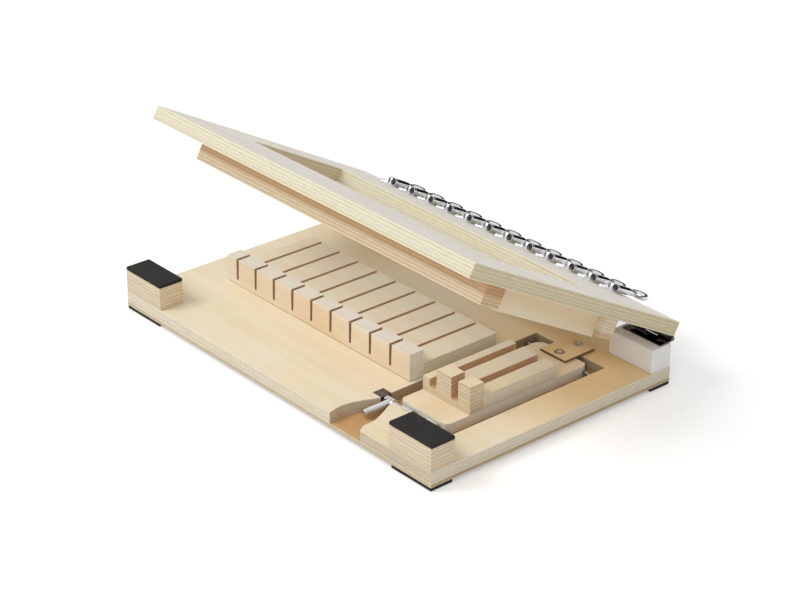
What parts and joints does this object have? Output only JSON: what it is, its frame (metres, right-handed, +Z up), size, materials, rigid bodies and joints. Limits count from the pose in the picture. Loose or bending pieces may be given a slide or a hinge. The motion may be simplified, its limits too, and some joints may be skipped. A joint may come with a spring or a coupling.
{
  "type": "soap cutter",
  "caption": "Plywood soap cutter with a hinged frame of tensioned wires over a slotted bed and a small sliding carriage.",
  "frame": {"origin": "middle of the flat underside of the base board; the rubber feet reach 3 mm below it", "axes": "+X to the right along the hinge line, +Y to the back where the hinges are, +Z up; the frame stands open 28.7 degrees"},
  "size_m": [0.396, 0.2919, 0.1789],
  "materials": {
    "plywood_face": "fine sanded birch, clear satin",
    "plywood_edge": "striped plywood edge",
    "black_rubber": "matt",
    "white_plastic": "smooth",
    "steel": "plain steel",
    "dark_steel": "dark, satin",
    "chrome": "polished",
    "brass": "plain"
  },
  "bodies": {
    "base": {"lower_board": "plywood_face", "upper_board": "plywood_face", "left_stop_block": "plywood_edge", "right_stop_block": "plywood_edge", "stop_pads": "black_rubber", "rubber_feet": "black_rubber", "bed_board": "plywood_face", "front_fence": "plywood_edge", "left_hinge_block": "white_plastic", "right_hinge_block": "white_plastic", "hinge_base_leaves": "dark_steel", "hinge_pins": "chrome", "hinge_base_screws": "steel", "base_screws": "steel", "shaft_bearings": "steel", "guide_rod": "steel", "strap_base_screw": "dark_steel"},
    "carriage": {"carriage_plate": "plywood_face", "carriage_bed": "plywood_face", "carriage_comb": "plywood_edge", "strap_carriage_screw": "dark_steel"},
    "strap": {"retaining_strap": "plywood_face"},
    "lever": {"cam_shaft": "steel", "lever_handle": "chrome"},
    "frame": {"frame_panel": "plywood_face", "lower_front_bar": "plywood_edge", "lower_back_bar": "plywood_edge", "left_side_bar": "plywood_face", "right_side_bar": "plywood_face", "hinge_frame_leaves": "dark_steel", "hinge_frame_screws": "steel", "tuner_housings": "chrome", "tuner_end_plugs": "black_rubber", "tuner_screws": "chrome", "cutting_wires": "steel", "wire_anchors": "brass"},
    "knob_1": {"tuner_knob_1": "chrome"},
    "post_1": {"string_post_1": "steel"},
    "knob_2": {"tuner_knob_2": "chrome"},
    "post_2": {"string_post_2": "steel"},
    "knob_3": {"tuner_knob_3": "chrome"},
    "post_3": {"string_post_3": "steel"},
    "knob_4": {"tuner_knob_4": "chrome"},
    "post_4": {"string_post_4": "steel"},
    "knob_5": {"tuner_knob_5": "chrome"},
    "post_5": {"string_post_5": "steel"},
    "knob_6": {"tuner_knob_6": "chrome"},
    "post_6": {"string_post_6": "steel"},
    "knob_7": {"tuner_knob_7": "chrome"},
    "post_7": {"string_post_7": "steel"},
    "knob_8": {"tuner_knob_8": "chrome"},
    "post_8": {"string_post_8": "steel"},
    "knob_9": {"tuner_knob_9": "chrome"},
    "post_9": {"string_post_9": "steel"},
    "knob_10": {"tuner_knob_10": "chrome"},
    "post_10": {"string_post_10": "steel"},
    "knob_11": {"tuner_knob_11": "chrome"},
    "post_11": {"string_post_11": "steel"},
    "knob_12": {"tuner_knob_12": "chrome"},
    "post_12": {"string_post_12": "steel"}
  },
  "joints": [
    {"name": "frame_hinge", "type": "hinge", "parent": "base", "child": "frame", "pos_m": [0, 0.1325, 0.0371], "axis": [-1, 0, 0], "range_deg": [-29.2, 66]},
    {"name": "carriage_slide", "type": "slide", "parent": "base", "child": "carriage", "axis": [1, 0, 0], "range_m": [-0.004, 0.0024]},
    {"name": "strap_pivot", "type": "hinge", "parent": "base", "child": "strap", "pos_m": [0.125, 0.0971, 0.0146], "axis": [0, 0, 1], "range_deg": [-10.7, 6.5]},
    {"name": "lever_turn", "type": "hinge", "parent": "base", "child": "lever", "pos_m": [0.0905, -0.0777, 0.009], "axis": [-1, 0, 0], "range_deg": [0, 95]},
    {"name": "knob_1_turn", "type": "hinge", "parent": "frame", "child": "knob_1", "pos_m": [-0.1418, 0.14036, 0.0548], "axis": [0, -0.8771, 0.4802], "continuous": true},
    {"name": "post_1_turn", "type": "hinge", "parent": "frame", "child": "post_1", "pos_m": [-0.149, 0.12396, 0.04462], "axis": [0, 0.4802, 0.8771], "continuous": true},
    {"name": "knob_2_turn", "type": "hinge", "parent": "frame", "child": "knob_2", "pos_m": [-0.1164, 0.14036, 0.0548], "axis": [0, -0.8771, 0.4802], "continuous": true},
    {"name": "post_2_turn", "type": "hinge", "parent": "frame", "child": "post_2", "pos_m": [-0.1236, 0.12396, 0.04462], "axis": [0, 0.4802, 0.8771], "continuous": true},
    {"name": "knob_3_turn", "type": "hinge", "parent": "frame", "child": "knob_3", "pos_m": [-0.091, 0.14036, 0.0548], "axis": [0, -0.8771, 0.4802], "continuous": true},
    {"name": "post_3_turn", "type": "hinge", "parent": "frame", "child": "post_3", "pos_m": [-0.0982, 0.12396, 0.04462], "axis": [0, 0.4802, 0.8771], "continuous": true},
    {"name": "knob_4_turn", "type": "hinge", "parent": "frame", "child": "knob_4", "pos_m": [-0.0656, 0.14036, 0.0548], "axis": [0, -0.8771, 0.4802], "continuous": true},
    {"name": "post_4_turn", "type": "hinge", "parent": "frame", "child": "post_4", "pos_m": [-0.0728, 0.12396, 0.04462], "axis": [0, 0.4802, 0.8771], "continuous": true},
    {"name": "knob_5_turn", "type": "hinge", "parent": "frame", "child": "knob_5", "pos_m": [-0.0402, 0.14036, 0.0548], "axis": [0, -0.8771, 0.4802], "continuous": true},
    {"name": "post_5_turn", "type": "hinge", "parent": "frame", "child": "post_5", "pos_m": [-0.0474, 0.12396, 0.04462], "axis": [0, 0.4802, 0.8771], "continuous": true},
    {"name": "knob_6_turn", "type": "hinge", "parent": "frame", "child": "knob_6", "pos_m": [-0.0148, 0.14036, 0.0548], "axis": [0, -0.8771, 0.4802], "continuous": true},
    {"name": "post_6_turn", "type": "hinge", "parent": "frame", "child": "post_6", "pos_m": [-0.022, 0.12396, 0.04462], "axis": [0, 0.4802, 0.8771], "continuous": true},
    {"name": "knob_7_turn", "type": "hinge", "parent": "frame", "child": "knob_7", "pos_m": [0.0106, 0.14036, 0.0548], "axis": [0, -0.8771, 0.4802], "continuous": true},
    {"name": "post_7_turn", "type": "hinge", "parent": "frame", "child": "post_7", "pos_m": [0.0034, 0.12396, 0.04462], "axis": [0, 0.4802, 0.8771], "continuous": true},
    {"name": "knob_8_turn", "type": "hinge", "parent": "frame", "child": "knob_8", "pos_m": [0.036, 0.14036, 0.0548], "axis": [0, -0.8771, 0.4802], "continuous": true},
    {"name": "post_8_turn", "type": "hinge", "parent": "frame", "child": "post_8", "pos_m": [0.0288, 0.12396, 0.04462], "axis": [0, 0.4802, 0.8771], "continuous": true},
    {"name": "knob_9_turn", "type": "hinge", "parent": "frame", "child": "knob_9", "pos_m": [0.0614, 0.14036, 0.0548], "axis": [0, -0.8771, 0.4802], "continuous": true},
    {"name": "post_9_turn", "type": "hinge", "parent": "frame", "child": "post_9", "pos_m": [0.0542, 0.12396, 0.04462], "axis": [0, 0.4802, 0.8771], "continuous": true},
    {"name": "knob_10_turn", "type": "hinge", "parent": "frame", "child": "knob_10", "pos_m": [0.0868, 0.14036, 0.0548], "axis": [0, -0.8771, 0.4802], "continuous": true},
    {"name": "post_10_turn", "type": "hinge", "parent": "frame", "child": "post_10", "pos_m": [0.0796, 0.12396, 0.04462], "axis": [0, 0.4802, 0.8771], "continuous": true},
    {"name": "knob_11_turn", "type": "hinge", "parent": "frame", "child": "knob_11", "pos_m": [0.1122, 0.14036, 0.0548], "axis": [0, -0.8771, 0.4802], "continuous": true},
    {"name": "post_11_turn", "type": "hinge", "parent": "frame", "child": "post_11", "pos_m": [0.105, 0.12396, 0.04462], "axis": [0, 0.4802, 0.8771], "continuous": true},
    {"name": "knob_12_turn", "type": "hinge", "parent": "frame", "child": "knob_12", "pos_m": [0.1376, 0.14036, 0.0548], "axis": [0, -0.8771, 0.4802], "continuous": true},
    {"name": "post_12_turn", "type": "hinge", "parent": "frame", "child": "post_12", "pos_m": [0.1304, 0.12396, 0.04462], "axis": [0, 0.4802, 0.8771], "continuous": true}
  ],
  "couplings": [
    {"joint": "strap_pivot", "follows": "carriage_slide", "rad_per_m": 46.083},
    {"joint": "post_1_turn", "follows": "knob_1_turn", "ratio": 0.071429},
    {"joint": "post_2_turn", "follows": "knob_2_turn", "ratio": 0.071429},
    {"joint": "post_3_turn", "follows": "knob_3_turn", "ratio": 0.071429},
    {"joint": "post_4_turn", "follows": "knob_4_turn", "ratio": 0.071429},
    {"joint": "post_5_turn", "follows": "knob_5_turn", "ratio": 0.071429},
    {"joint": "post_6_turn", "follows": "knob_6_turn", "ratio": 0.071429},
    {"joint": "post_7_turn", "follows": "knob_7_turn", "ratio": 0.071429},
    {"joint": "post_8_turn", "follows": "knob_8_turn", "ratio": 0.071429},
    {"joint": "post_9_turn", "follows": "knob_9_turn", "ratio": 0.071429},
    {"joint": "post_10_turn", "follows": "knob_10_turn", "ratio": 0.071429},
    {"joint": "post_11_turn", "follows": "knob_11_turn", "ratio": 0.071429},
    {"joint": "post_12_turn", "follows": "knob_12_turn", "ratio": 0.071429}
  ]
}
